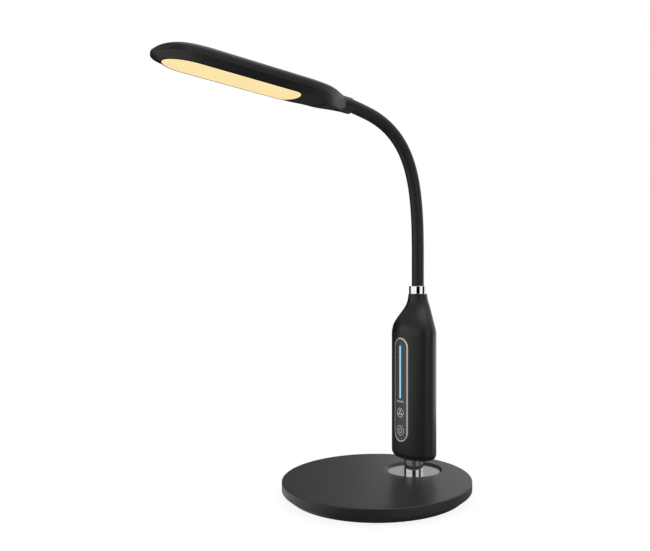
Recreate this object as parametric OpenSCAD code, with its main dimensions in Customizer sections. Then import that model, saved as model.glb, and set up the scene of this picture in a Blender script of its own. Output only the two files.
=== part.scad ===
// Gooseneck desk lamp: a weighted round base, an oval control column on a chrome post,
// a flexible neck that bends at ten places, and a slim LED head.
// Millimetres. The origin is the middle of the base's underside, the lamp faces -Y.

/* [Base] */
// Diameter of the base disc
base_d = 180; // [170:1:200]
// Height of the base above the table
base_h = 15; // [15:0.5:17]
// Height of the upright band of the rim
rim_h = 8.4; // [8:0.1:9]
// How far the lower edge slopes inward under the rim
rim_slope = 6.6; // [5:0.1:8]
// Thickness of the plastic covers
cover_t = 2.1; // [1.8:0.1:2.2]
// Radius of the sunk ring round the post, at the top face
recess_r = 27.7; // [27:0.1:29]
// Radius of the chrome disc in the sunk ring
disc_r = 23.9; // [22:0.1:24]

/* [Column] */
// How far the post stands behind the middle of the base
post_y = 47.3; // [45:0.1:50]
// Diameter of the chrome post
post_d = 19; // [18:0.1:20]
// Height of the column's underside
column_z = 26.7; // [25:0.1:28]
// Width of the oval column
column_w = 53.2; // [52:0.1:56]
// Depth of the oval column
column_dep = 35.8; // [34:0.1:37]
// Height at which the shoulder starts
shoulder_z = 148.5; // [148:0.1:152]
// Height of the top of the shoulder
shoulder_top = 189; // [187:0.5:192]
// How far the neck stands behind the middle of the column
neck_back = 5.5; // [5:0.1:6]
// Width of the touch panel, trim included
panel_w = 19.6; // [18:0.1:21]
// Height of the lower end of the touch panel
panel_z0 = 44.4; // [42:0.1:46]
// Height of the upper end of the touch panel
panel_z1 = 146.8; // [140:0.1:147]

/* [Neck] */
// Diameter of the flexible neck
neck_d = 12.2; // [11.6:0.1:12.4]
// Height of the chrome ring at the foot of the neck
ring_h = 8; // [6:0.5:9]
// Length from the ring to the first bending place
neck_start = 12; // [11:0.5:14]
// Distance between bending places
link_len = 20; // [19:0.5:21]
// Length from the last bending place to the head's collar
neck_last = 17.5; // [16:0.5:20]
// Space between the ball end of one stretch and the cup of the next
ball_gap = 0.3; // [0.25:0.05:0.35]

/* [Head] */
// Length of the head, collar included
head_len = 191.5; // [190:0.5:196]
// Width of the head
head_w = 46.9; // [45:0.1:48]
// Thickness of the head
head_h = 14.6; // [14.4:0.1:15.2]
// Upward tilt of the head
head_pitch = 4.35; // [3.5:0.05:5]
// Diameter of the collar that holds the neck
collar_d = 15.1; // [15:0.1:15.6]
// Width of the light window
light_w = 30.6; // [29:0.1:31.4]
// Length of the light window
light_len = 122.5; // [120:0.5:124]

/* [Hidden] */

$fn = 72;
eps = 0.05;

// base
base_r = base_d / 2;
pad_t = 0.9;
pad_r = base_r - rim_slope - 3;
rim_z = base_h - rim_h;
top_z = base_h - cover_t;
seam = 0.15;
disc_t = 1;
disc_z = base_h - 2 - disc_t;
floor_z = disc_z - 1.8;
weight_r = base_r - 12;
weight_z0 = pad_t + cover_t + 0.1;
weight_t = 5;
weight_z1 = weight_z0 + weight_t;
boss_r = base_r - 24;
boss_turns = [15, 165, 235, 305];
flange_turns = [30, 150, 270];
jack_z = 8.7;
jack_r = 3.8;
jack_in = 12.5;
lead_r = 1.9;

// column
sleeve_z = column_z + 6.3;
wall = 2;
end_r = 13;
half_w = column_w / 2;
half_dep = column_dep / 2;
// the flatter sides of the oval are arcs that run smoothly into its round ends
side_off = (pow(half_w - end_r, 2) - pow(half_dep - end_r, 2)) / (2 * (half_dep - end_r));
side_r = side_off + half_dep;
neck_y = post_y + neck_back;
neck_r = neck_d / 2;
shoulder_r = 9;
ring_r = 8;
ring_z = shoulder_top + ring_h;
// inside the shoulder a ledge takes the nut of the neck's ferrule
ledge_part = 0.54;
ledge_z = mix(shoulder_z + 0.15, shoulder_top, ledge_part);
ferrule_r = 6.7;
ferrule_z = ledge_z - 5.4;
post_bore = 6.2;
flange_r = 18;
flange_screw_at = 13.5;
cap_screw_x = 18;
board_t = 1.6;
trim_w = 1.3;
bar_w = 2.4;
bar_z0 = 87;
bar_z1 = 139;
front_y = post_y - half_dep;
carrier_y = post_y + 1;
carrier_t = 2;
touch_y = front_y + 3.3;
touch_screw_z = [62, 130];
driver_y = carrier_y + carrier_t + 2.2;
driver_screw_x = 11;
driver_screw_z = [66, 132];

// neck: the bend of each stretch at rest, in degrees, from the ring to the head
stretch_bend = [0, 0, 1.5, 3, 5, 8, 13, 16.7, 16.4, 12.8, 2.1];
last = len(stretch_bend) - 1;
function stretch_len(k) = k == 0 ? neck_start : k == last ? neck_last : link_len;
function stretch_dir(k) = k == 0 ? 0 : stretch_dir(k - 1) + stretch_bend[k - 1];
function chord(k) = stretch_bend[k] == 0 ? stretch_len(k)
    : 2 * stretch_len(k) * 180 / PI / stretch_bend[k] * sin(stretch_bend[k] / 2);
// start of a stretch, as forward distance and height
function stretch_at(k) = k == 0 ? [0, ring_z]
    : let (p = stretch_at(k - 1), a = stretch_dir(k - 1) + stretch_bend[k - 1] / 2)
      p + chord(k - 1) * [sin(a), cos(a)];
collar_at = stretch_at(last + 1);
neck_bore = 2.6;
ball_r = neck_r - 0.05;

// head: its own frame has the collar's mouth at the origin and points to -Y
light_z = -6.3;
seam_z = light_z + 5.4;
head_top = light_z + head_h;
half_head = head_w / 2;
nose_len = 25.2;
// the neck's last few millimetres turn into the head's own direction
collar_from = 4.5;
collar_z = -0.3;
tail_z = 0.3;
tail_to = 13;
// the round collar grows into the slab
neck_from = 13.5;
slab_from = 49.9;
body_from = 62;
dome_from = 151;
light_rim = 0.7;
board_z = light_z + 6.2;
plate_z = board_z + 1.05;
clamp_v = 18.5;
head_lead_z = 3.2;
head_lead_r = 1.3;
shell_t = 1.7;
light_r = light_w / 2;
light_nose = 23;
light_rear = 16;
light_from = 60.5;
light_to = light_from + light_len;
collar_r = collar_d / 2;

function mix(a, b, t) = a + (b - a) * t;
function ease(t) = let (c = min(1, max(0, t))) c * c * (3 - 2 * c);
// rises from 0 to 1, bulging by the powers a and b
function swell(t, a, b) = pow(1 - pow(1 - min(1, max(0, t)), a), b);

// ---- general shapes ----

// skin over rings of points that run anticlockwise as seen from the last ring
module loft(rings) {
    n = len(rings[0]);
    m = len(rings);
    points = [for (r = rings) each r];
    sides = [for (i = [0:m - 2], j = [0:n - 1])
        let (a = i * n + j, b = i * n + (j + 1) % n)
        each [[a, b + n, b], [a, a + n, b + n]]];
    polyhedron(points = points, faces = concat(
        [[for (j = [0:n - 1]) j]], sides, [[for (j = [n - 1:-1:0]) (m - 1) * n + j]]));
}

// round bar along +Z, bent towards -Y by some degrees
module bent_bar(r, length, bend) {
    if (bend == 0)
        cylinder(r = r, h = length);
    else {
        arc_r = length * 180 / PI / bend;
        translate([0, -arc_r, 0]) rotate([90, 0, 90])
            rotate_extrude(angle = bend, $fn = 72) translate([arc_r, 0]) circle(r = r);
    }
}

// frame at the start of a neck stretch
module at_stretch(k) {
    p = stretch_at(k);
    translate([0, neck_y - p[0], p[1]]) rotate([stretch_dir(k), 0, 0]) children();
}

// upright slot shape with round ends
module slot_2d(w, z0, z1) {
    for (z = [z0 + w / 2, z1 - w / 2]) translate([0, z]) circle(d = w);
    translate([-w / 2, z0 + w / 2]) square([w, z1 - z0 - w]);
}

// ---- base ----

module base_pad() {
    color("dimgray") cylinder(r = pad_r, h = pad_t);
}

module base_bottom_cover() {
    color([0.1, 0.1, 0.1]) difference() {
        rotate_extrude() polygon([
            [0, pad_t], [base_r - rim_slope, pad_t], [base_r - 0.3, rim_z - seam],
            [base_r - 3.2, rim_z - seam], [base_r - rim_slope - 2.2, pad_t + cover_t], [0, pad_t + cover_t]]);
        for (a = boss_turns) rotate(a) translate([boss_r, 0, -1]) cylinder(r = 1.7, h = 10);
        for (a = boss_turns) rotate(a) translate([boss_r, 0, pad_t - eps])
            cylinder(r1 = 3.1, r2 = 1.7, h = 1.4);
        translate([0, base_r, jack_z]) rotate([90, 0, 0]) cylinder(r = jack_r + 0.1, h = 30, center = true);
    }
}

module base_weight() {
    color("slategray") difference() {
        translate([0, 0, weight_z0]) cylinder(r = weight_r, h = weight_t);
        translate([-8, 68, 0]) cube([16, 30, 20]);
        translate([-3.2, post_y, 0]) cube([6.4, 40, 20]);
        translate([0, post_y, 0]) cylinder(r = post_bore, h = 20);
        for (a = flange_turns) translate([0, post_y, weight_z0]) rotate(a) {
            translate([flange_screw_at, 0, 0]) cylinder(r = 1.7, h = 20);
            translate([flange_screw_at, 0, -1]) cylinder(r = 2.8, h = 3);
        }
        for (a = boss_turns) rotate(a) translate([boss_r, 0, 0]) cylinder(r = 3.6, h = 20);
    }
}

module base_top_cover() {
    color([0.16, 0.16, 0.16]) difference() {
        union() {
            rotate_extrude() polygon([
                [0, top_z], [base_r - 2.6, top_z], [base_r - 2.6, rim_z], [base_r, rim_z],
                [base_r, base_h - 0.6], [base_r - 0.6, base_h], [0, base_h]]);
            translate([0, post_y, floor_z]) cylinder(r = recess_r + 1.6, h = top_z - floor_z + 0.5);
            for (a = boss_turns) rotate(a) translate([boss_r, 0, weight_z0 - 0.05])
                cylinder(r = 3.2, h = top_z - weight_z0 + 0.5);
        }
        translate([0, post_y, disc_z + disc_t]) cylinder(r1 = disc_r + 0.1, r2 = recess_r + 0.1, h = 2.05);
        translate([0, post_y, disc_z]) cylinder(r = disc_r + 0.1, h = 2);
        translate([0, post_y, 0]) cylinder(r = post_d / 2 + 0.2, h = 30);
        for (a = boss_turns) rotate(a) translate([boss_r, 0, 0]) cylinder(r = 1.2, h = top_z - 1);
        translate([0, base_r, jack_z]) rotate([90, 0, 0]) cylinder(r = jack_r + 0.1, h = 30, center = true);
    }
}

module base_screws() {
    color("gray") for (a = boss_turns) rotate(a) translate([boss_r, 0, pad_t + 0.05]) {
        cylinder(r1 = 2.9, r2 = 1.5, h = 1.4);
        cylinder(r = 1.15, h = 9);
    }
}

module recess_disc() {
    color("silver") translate([0, post_y, disc_z]) difference() {
        cylinder(r = disc_r, h = disc_t);
        translate([0, 0, -1]) cylinder(r = post_d / 2 + 0.1, h = 4);
    }
}

module post() {
    color("silver") translate([0, post_y, 0]) difference() {
        union() {
            translate([0, 0, weight_z1]) cylinder(r = flange_r, h = floor_z - weight_z1 - 0.05);
            translate([0, 0, weight_z1]) cylinder(r = post_d / 2, h = sleeve_z + 5.5 - weight_z1);
        }
        cylinder(r = post_bore, h = 60);
        for (a = flange_turns) rotate(a) translate([flange_screw_at, 0, weight_z1 - 1])
            cylinder(r = 1.65, h = 8);
    }
}

module post_screws() {
    color("gray") translate([0, post_y, 0]) for (a = flange_turns) rotate(a)
        translate([flange_screw_at, 0, weight_z0 + 0.3]) {
            cylinder(r = 2.6, h = 1.65);
            cylinder(r = 1.6, h = floor_z - weight_z0 - 0.6);
        }
}

module post_nut() {
    color("gray") translate([0, post_y, sleeve_z + 0.8]) difference() {
        cylinder(r = 13, h = 4, $fn = 6);
        translate([0, 0, -1]) cylinder(r = post_d / 2 + 0.05, h = 6);
    }
}

module inlet_jack() {
    color([0.12, 0.12, 0.12]) translate([0, base_r - 0.4, jack_z]) rotate([90, 0, 0]) difference() {
        union() {
            cylinder(r = jack_r, h = jack_in);
            translate([-4.5, -3.7, 6]) cube([9, 7.7, jack_in - 5.8]);
        }
        translate([0, 0, -1]) cylinder(r = 2.75, h = 10.5);
    }
}

module inlet_pin() {
    color("goldenrod") translate([0, base_r - 0.4, jack_z]) rotate([90, 0, 0])
        translate([0, 0, 1.2]) cylinder(r = 1.05, h = 8.3);
}

// lead from the inlet, through the slot in the weight and up the hollow post
module power_lead() {
    lead_z = weight_z0 + weight_t / 2;
    turn_r = 8;
    run = base_r - 13.2 - post_y - turn_r;
    color("black") {
        translate([0, post_y + turn_r + run, lead_z]) rotate([90, 0, 0]) cylinder(r = lead_r, h = run + 0.5);
        translate([0, post_y + turn_r, lead_z + turn_r]) rotate([0, 90, 0]) rotate([0, 0, -90])
            rotate_extrude(angle = 90) translate([turn_r, 0]) circle(r = lead_r + 0.05);
        translate([0, post_y, lead_z + turn_r - 0.5]) cylinder(r = lead_r, h = 34);
    }
}

// ---- column ----

// points of the column's oval, grown by g, from its right end anticlockwise
function oval_r(a, g) = let (
        c = half_w - end_r,
        tip_a = atan2(side_off, c),
        // angle seen from the middle where end arc meets side arc
        join = atan2((end_r + g) * sin(tip_a), c + (end_r + g) * cos(tip_a)),
        q = a % 180 > 90 ? 180 - a % 180 : a % 180)
    q <= join
        ? c * cos(q) + sqrt(pow(end_r + g, 2) - pow(c * sin(q), 2))
        : -side_off * sin(q) + sqrt(pow(side_r + g, 2) - pow(side_off * cos(q), 2));
function oval(g, n = 72) = [for (i = [0:n - 1]) let (a = 360 * i / n) oval_r(a, g) * [cos(a), sin(a)]];
function raised(points, y, z) = [for (p = points) [p[0], p[1] + y, z]];

// exact oval slab, grown by g
module oval_slab(g, z0, z1) {
    c = half_w - end_r;
    tip_a = atan2(side_off, c);
    join = [c + (end_r + g) * cos(tip_a), (end_r + g) * sin(tip_a)];
    translate([0, post_y, z0]) linear_extrude(z1 - z0) {
        intersection() {
            translate([0, -side_off]) circle(r = side_r + g, $fn = 144);
            translate([0, side_off]) circle(r = side_r + g, $fn = 144);
            square([2 * join[0], 100], center = true);
        }
        for (s = [-1, 1]) translate([s * c, 0]) circle(r = end_r + g);
    }
}

module column_bottom_cap() {
    round_r = sleeve_z - column_z - 0.1;
    color([0.13, 0.13, 0.13]) difference() {
        union() {
            loft([for (a = [0:18:90])
                raised(oval(round_r * (sin(a) - 1)), post_y, column_z + round_r * (1 - cos(a)))]);
            oval_slab(-wall - 0.15, sleeve_z - 0.2, sleeve_z + 5);
        }
        translate([0, post_y, 0]) cylinder(r = post_d / 2 + 0.1, h = 60);
        oval_slab(-wall - 3, sleeve_z + 0.8, sleeve_z + 6);
        for (s = [-1, 1]) translate([s * cap_screw_x, post_y, column_z]) {
            cylinder(r = 1.6, h = 60);
            translate([0, 0, -1]) cylinder(r = 2.8, h = 4);
        }
    }
}

// slot prism through the front wall of the column
module front_slot(w, z0, z1, y0, y1) {
    translate([0, y1, 0]) rotate([90, 0, 0]) linear_extrude(y1 - y0) slot_2d(w, z0, z1);
}

module column_sleeve() {
    color([0.15, 0.15, 0.15]) difference() {
        oval_slab(0, sleeve_z, shoulder_z);
        oval_slab(-wall, sleeve_z - 1, shoulder_z + 1);
        front_slot(panel_w + 0.2, panel_z0 - 0.1, panel_z1 + 0.1, front_y - 3, front_y + 6);
    }
}

// rings of the shoulder: the oval narrows to a circle and moves back under the neck
function shoulder_ring(t, g) = let (
        narrow = ease(pow(t, 1.08)), back = ease(pow(t, 1.4)),
        z = shoulder_z + 0.15 + (shoulder_top - shoulder_z - 0.15) * t)
    [for (i = [0:71]) let (a = 5 * i, r = mix(oval_r(a, g), shoulder_r + g, narrow))
        [r * cos(a), r * sin(a) + post_y + neck_back * back, z]];

module column_shoulder() {
    color([0.15, 0.15, 0.15]) difference() {
        union() {
            loft([for (i = [0:12]) shoulder_ring(i / 12, 0)]);
            difference() {
                oval_slab(-wall - 0.15, shoulder_z - 4, shoulder_z + 0.5);
                translate([-20, front_y - 5, shoulder_z - 10]) cube([40, 12, 10]);
            }
        }
        loft(concat([for (z = [shoulder_z - 5, shoulder_z + 0.8]) raised(oval(-wall - 1.8), post_y, z)],
            [for (i = [1:6]) shoulder_ring(ledge_part * i / 6, -wall)]));
        translate([0, neck_y, ferrule_z]) cylinder(r = ferrule_r + 0.1, h = 60);
    }
}

module column_screws() {
    color("gray") for (s = [-1, 1]) translate([s * cap_screw_x, post_y, column_z + 1.1]) {
        cylinder(r = 2.6, h = 1.8);
        cylinder(r = 1.5, h = 16);
    }
}

// plate that carries both boards inside the column, on two feet that stand in the cap
module board_carrier() {
    z0 = sleeve_z + 6;
    color("gainsboro") difference() {
        union() {
            translate([-21, carrier_y, z0]) cube([42, carrier_t, shoulder_z - 8 - z0]);
            for (s = [-1, 1]) translate([s * cap_screw_x, post_y, sleeve_z + 0.85]) cylinder(r = 3.2, h = 13);
            for (z = touch_screw_z) translate([0, carrier_y + 0.5, z]) rotate([90, 0, 0])
                cylinder(r = 2.6, h = carrier_y + 0.45 - touch_y - board_t);
            for (z = driver_screw_z) translate([driver_screw_x, driver_y - 0.05, z]) rotate([90, 0, 0])
                cylinder(r = 2.6, h = 3);
        }
        for (s = [-1, 1]) translate([s * cap_screw_x, post_y, 0]) cylinder(r = 1.55, h = sleeve_z + 12);
        for (z = touch_screw_z) translate([0, carrier_y - 2, z]) rotate([90, 0, 0]) cylinder(r = 0.8, h = 30);
        for (z = driver_screw_z) translate([driver_screw_x, driver_y + 1, z]) rotate([90, 0, 0])
            cylinder(r = 1.25, h = 20);
        // way for the lead that comes up through the post
        translate([0, carrier_y - 1, z0 + 8]) rotate([-90, 0, 0]) cylinder(r = 5, h = 6);
        translate([-5, carrier_y - 3, z0 - 1]) cube([10, 8, 9]);
    }
}

module driver_board() {
    color("darkgreen") difference() {
        translate([-15, driver_y, 62]) cube([30, board_t, 74]);
        for (z = driver_screw_z) translate([driver_screw_x, driver_y + 10, z]) rotate([90, 0, 0])
            cylinder(r = 1.4, h = 20);
    }
}

// coil, capacitor and plug housing on the driver board
module driver_parts() {
    y1 = driver_y + board_t;
    color("darkorange") {
        translate([-5, y1, 80]) rotate([-90, 0, 0]) cylinder(r = 5, h = 4);
        translate([6, y1, 96]) rotate([-90, 0, 0]) cylinder(r = 4, h = 5);
        translate([-8, y1, 108]) cube([9, 3, 12]);
        translate([-4, y1, 64]) cube([8, 4.5, 6]);
    }
}

module touch_board() {
    color("darkgreen") difference() {
        front_slot(panel_w - 4, panel_z0 + 2, panel_z1 - 2, touch_y, touch_y + board_t);
        for (z = touch_screw_z) translate([0, front_y, z]) rotate([-90, 0, 0]) cylinder(r = 1, h = 10);
    }
}

module board_screws() {
    color("gray") {
        for (z = driver_screw_z) translate([driver_screw_x, driver_y + board_t + 1.2, z]) rotate([90, 0, 0]) {
            cylinder(r = 2.2, h = 1.15);
            cylinder(r = 1.2, h = 6.5);
        }
        for (z = touch_screw_z) translate([0, touch_y + 0.1, z]) rotate([-90, 0, 0]) {
            cylinder(r1 = 0.95, r2 = 0.75, h = 1);
            cylinder(r = 0.75, h = 5);
        }
    }
}

module panel_trim() {
    color("silver") intersection() {
        difference() {
            front_slot(panel_w, panel_z0, panel_z1, front_y - 3, front_y + 2.9);
            front_slot(panel_w - 2 * trim_w, panel_z0 + trim_w, panel_z1 - trim_w, front_y - 4, front_y + 6);
        }
        oval_slab(0.3, 30, 150);
    }
}

module panel_lens() {
    color([0.22, 0.22, 0.24]) difference() {
        intersection() {
            front_slot(panel_w - 2 * trim_w - 0.1, panel_z0 + trim_w + 0.05, panel_z1 - trim_w - 0.05,
                front_y - 3, front_y + 2.9);
            oval_slab(0.1, 30, 150);
        }
        front_slot(bar_w + 0.1, bar_z0, bar_z1, front_y - 3, front_y + 6);
    }
}

module slider_light_bar() {
    color("deepskyblue") intersection() {
        front_slot(bar_w, bar_z0 + 0.05, bar_z1 - 0.05, front_y - 3, front_y + 3.2);
        oval_slab(0.12, 30, 150);
    }
}

module neck_ferrule() {
    color("goldenrod") translate([0, neck_y, ferrule_z]) difference() {
        cylinder(r = ferrule_r, h = shoulder_top - ferrule_z - 0.05);
        translate([0, 0, -1]) cylinder(r = neck_r + 0.05, h = 60);
    }
}

module ferrule_nut() {
    color("gray") translate([0, neck_y, ledge_z - 3.55]) difference() {
        cylinder(r = 8.5, h = 3.5, $fn = 6);
        translate([0, 0, -1]) cylinder(r = ferrule_r + 0.05, h = 6);
    }
}

module neck_ring() {
    color("silver") translate([0, neck_y, shoulder_top]) difference() {
        union() {
            cylinder(r = ring_r - 0.4, h = ring_h);
            translate([0, 0, 0.4]) cylinder(r = ring_r, h = ring_h - 0.8);
        }
        translate([0, 0, -1]) cylinder(r = neck_r + 0.05, h = 20);
    }
}

// ---- neck ----

// one stretch of the flexible tube in its sleeve: a cup below, a ball end above, a bore for the lead
module neck_stretch(k) {
    foot = k == 0 ? ring_z - ferrule_z - 2 : 0;
    bend = stretch_bend[k];
    color([0.2, 0.2, 0.2]) difference() {
        union() {
            at_stretch(k) bent_bar(neck_r, stretch_len(k), bend);
            if (k == 0) at_stretch(k) translate([0, 0, -foot]) cylinder(r = neck_r, h = foot + eps);
            if (k == last) {
                at_stretch(k + 1) translate([0, 0, -1]) cylinder(r = neck_r - 0.1, h = collar_from + 1.7);
                at_head() head_bar(neck_r - 0.6, tail_z, collar_from - 2, tail_to);
            } else
                at_stretch(k + 1) sphere(r = ball_r);
        }
        if (k > 0) at_stretch(k) sphere(r = ball_r + ball_gap);
        at_stretch(k) bent_bar(neck_bore, stretch_len(k), bend);
        if (k == 0) at_stretch(k) translate([0, 0, -foot - 1]) cylinder(r = neck_bore, h = foot + 2);
        at_stretch(k + 1) translate([0, 0, -1])
            cylinder(r = neck_bore + 0.4, h = k == last ? collar_from + 1.7 : neck_r + 4);
        if (k == last) at_head() head_bar(neck_bore - 0.1, tail_z, collar_from - 2, tail_to + 1);
    }
}

// ---- head ----

module at_head() {
    translate([0, neck_y - collar_at[0], collar_at[1]]) rotate([-head_pitch, 0, 0]) children();
}

// round bar along the head's own direction
module head_bar(r, z, from, to) {
    translate([0, -from, z]) rotate([90, 0, 0]) cylinder(r = r, h = to - from);
}

// half width of the head at distance v from the collar's mouth
function half_at(v) =
    let (nose = max(0, v - (head_len - nose_len)) / nose_len)
    mix(collar_r, half_head, swell((v - neck_from) / (body_from - neck_from), 1.32, 0.41))
        * sqrt(max(0.0001, 1 - pow(nose, 2.36)));

// half width of the flat underside, which follows the light window's outline
function flat_at(v) =
    let (nose = max(0, v - (light_to - light_nose)) / (light_nose + light_rim),
         rest = max(0, v - light_to - light_rim) / (head_len - light_to - light_rim))
    v < light_from ? half_at(v) * (light_r + light_rim) / half_head
        : max((light_r + light_rim) * sqrt(max(0, 1 - nose * nose)), half_at(v) * 0.3 * (1 - rest));

// one cross-section of the head: flat round the light, sloping sides, domed top
function head_ring(v, g, n = 40) =
    let (
        w = half_at(v),
        // how much of the section is slab and how much is round collar
        slab = swell((v - neck_from) / (slab_from - neck_from), 2.79, 1.2),
        nose = max(0, v - dome_from) / (head_len - dome_from),
        tip = max(0, v - light_to - light_rim) / (head_len - light_to - light_rim),
        top = mix(0.15, 1, sqrt(max(0, 1 - pow(nose, 1.8)))) * (head_top - seam_z),
        drop = mix(light_z - seam_z, -0.6, tip),
        low_w = flat_at(v))
    [for (i = [0:n - 1])
        let (
            a = 360 * i / n,
            c = cos(a), s = sin(a),
            // squarish dome above the seam, sloping border and flat below it
            dome = [(w - g) * sign(c) * pow(abs(c), 0.55), (top - g) * pow(abs(s), 0.65)],
            low = abs(s) < 0.5
                ? [sign(c) * max(0.2, mix(w, low_w, abs(s) / 0.5) - g), mix(0, drop + g, abs(s) / 0.5)]
                : [max(0.2, low_w - g) * c / cos(30), drop + g],
            flat = s >= 0 ? dome : low,
            tube = (collar_r - g) * [c, s] + [0, collar_z],
            p = mix(tube, flat + [0, seam_z], slab))
        [p[0], -v, p[1]]];

// where the sections stand along the head, closer together at the nose
head_cuts = concat([for (v = [collar_from:3:62]) v], [80, 120, 151, 159],
    [for (a = [10:10:80]) head_len - nose_len * (1 - sin(a))], [head_len - 0.1]);

module head_form(g, from, to) {
    cuts = [for (v = head_cuts) if (v >= from && v <= to) v];
    loft([for (v = cuts) head_ring(v, g)]);
}

// outline of the light window, grown by g
function light_outline(g) = concat(
    [for (a = [0:6:180]) [(light_r + g) * cos(a), -light_from - light_rear + (light_rear + g) * sin(a)]],
    [for (a = [180:6:360]) [(light_r + g) * cos(a), -light_to + light_nose + (light_nose + g) * sin(a)]]);

module light_prism(g, z0, z1) {
    translate([0, 0, z0]) linear_extrude(z1 - z0) polygon(light_outline(g));
}

// shallow oval hollow in the underside between the window and the collar
thumb_outline = [for (a = [0:10:350]) [(5.6 - 1.6 * sin(a)) * cos(a), -42 - 12.5 * sin(a)]];

module head_cavity() {
    head_form(shell_t, 24, head_len - 2);
}

module at_head_screws() {
    for (v = [76, 164]) translate([0, -v, 0]) children();
}

module head_top_shell() {
    color([0.16, 0.16, 0.16]) at_head() difference() {
        intersection() {
            head_form(0, 0, head_len);
            translate([-50, -head_len - 5, seam_z + 0.1]) cube([100, head_len + 20, 40]);
        }
        difference() {
            head_cavity();
            at_head_screws() translate([0, 0, plate_z + 1.3]) cylinder(r = 3, h = 20);
        }
        at_head_screws() cylinder(r = 0.9, h = head_top - 2.5);
        neck_socket();
        translate([0, -clamp_v, -20]) cylinder(r = 1.3, h = 21.3);
    }
}

// room for the end of the neck and a way on for the lead
module neck_socket() {
    head_bar(neck_r + 0.1, tail_z, 0, tail_to + 0.3);
    head_bar(head_lead_r + 0.4, head_lead_z, tail_to - 5, 32);
}

module head_bottom_frame() {
    color([0.12, 0.12, 0.12]) at_head() difference() {
        intersection() {
            head_form(0, 0, head_len);
            translate([-50, -head_len - 5, -40]) cube([100, head_len + 20, 40 + seam_z - eps]);
        }
        difference() {
            head_cavity();
            translate([-50, -head_len, light_z - 1]) cube([100, head_len, 1.25 + shell_t]);
        }
        light_prism(0.15, -40, 40);
        light_prism(0.65, light_z + shell_t, 40);
        neck_socket();
        translate([0, -clamp_v, -20]) cylinder(r = 1.7, h = 40);
        translate([0, -clamp_v, light_z - 2]) cylinder(r = 2.8, h = 5.3);
        translate([0, 0, light_z - 1]) linear_extrude(1.8) polygon(thumb_outline);
    }
}

module light_diffuser() {
    color([1, 0.87, 0.66]) at_head() {
        light_prism(0, light_z, light_z + shell_t + 0.5);
        light_prism(0.5, light_z + shell_t + 0.1, light_z + shell_t + 0.9);
    }
}

module light_spreader() {
    color("white") at_head() light_prism(0.5, light_z + shell_t + 1, light_z + shell_t + 2.5);
}

module led_board() {
    color("whitesmoke") at_head() difference() {
        translate([-12, -169, board_z]) cube([24, 98, 1]);
        at_head_screws() translate([0, 0, board_z - 1]) cylinder(r = 1, h = 4);
    }
}

// two rows of chips that face down to the spreader
module led_chips() {
    color("khaki") at_head() for (x = [-7, 7], v = [80:8:160])
        translate([x - 1.4, -v - 1.75, board_z - 0.65]) cube([2.8, 3.5, 0.65]);
}

module heat_plate() {
    color("lightgray") at_head() difference() {
        translate([-13, -170, plate_z]) cube([26, 100, 1.2]);
        at_head_screws() translate([0, 0, plate_z - 1]) cylinder(r = 1, h = 4);
    }
}

module head_screws() {
    color("gray") at_head() at_head_screws() translate([0, 0, board_z - 0.75]) {
        cylinder(r = 1.9, h = 0.7);
        cylinder(r = 0.85, h = 6);
    }
}

// clamps the two halves of the collar on the neck
module collar_screw() {
    color("gray") at_head() translate([0, -clamp_v, light_z + 2.05]) {
        cylinder(r = 2.6, h = 1.2);
        cylinder(r = 1.25, h = 5.5);
    }
}

module head_lead() {
    color("firebrick") at_head() head_bar(head_lead_r, head_lead_z, tail_to + 0.2, 68.2);
}

// ---- every piece by name ----

base_pad();
base_bottom_cover();
base_weight();
base_top_cover();
base_screws();
recess_disc();
post();
post_screws();
post_nut();
inlet_jack();
inlet_pin();
power_lead();
column_bottom_cap();
column_sleeve();
column_shoulder();
column_screws();
board_carrier();
driver_board();
driver_parts();
touch_board();
board_screws();
panel_trim();
panel_lens();
slider_light_bar();
neck_ferrule();
ferrule_nut();
neck_ring();
for (k = [0:last])
    neck_stretch(k);
head_top_shell();
head_bottom_frame();
light_diffuser();
light_spreader();
led_board();
led_chips();
heat_plate();
head_screws();
collar_screw();
head_lead();
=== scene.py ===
from math import sin, cos, pi, sqrt, atan2, radians, degrees

import bpy
import bmesh
from mathutils import Matrix, Vector


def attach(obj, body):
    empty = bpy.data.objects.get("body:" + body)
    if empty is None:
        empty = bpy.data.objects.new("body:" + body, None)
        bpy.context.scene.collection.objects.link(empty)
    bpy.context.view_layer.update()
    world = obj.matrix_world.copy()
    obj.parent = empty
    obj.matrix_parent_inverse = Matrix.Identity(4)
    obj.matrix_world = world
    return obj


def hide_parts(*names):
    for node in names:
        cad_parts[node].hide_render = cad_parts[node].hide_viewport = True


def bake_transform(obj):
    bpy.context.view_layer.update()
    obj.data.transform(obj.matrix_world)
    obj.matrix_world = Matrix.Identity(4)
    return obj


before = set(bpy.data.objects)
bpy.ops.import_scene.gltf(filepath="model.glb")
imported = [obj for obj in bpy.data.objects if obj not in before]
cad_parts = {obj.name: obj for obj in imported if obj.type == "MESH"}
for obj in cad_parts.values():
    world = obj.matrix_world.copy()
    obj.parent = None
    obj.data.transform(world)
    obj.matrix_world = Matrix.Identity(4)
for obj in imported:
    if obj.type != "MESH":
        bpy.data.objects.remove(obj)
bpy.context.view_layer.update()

mm = 0.001  # lengths are in millimetres in the pieces' dictionaries, in metres in the looks and the studio

# camera: level, turned towards the lamp's front left
view = {"place": (0.5154, -0.4234, 0.2075), "heading": 50.6, "lens": 38.77, "shift": -0.08}


def makeCamera():
    data = bpy.data.cameras.new("camera")
    data.lens = view["lens"]
    data.shift_x = view["shift"]
    camera = bpy.data.objects.new("camera", data)
    camera.location = view["place"]
    camera.rotation_euler = (radians(90), 0, radians(view["heading"]))
    bpy.context.collection.objects.link(camera)
    bpy.context.scene.camera = camera


makeCamera()
bpy.context.scene.view_settings.view_transform = "Standard"


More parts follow.
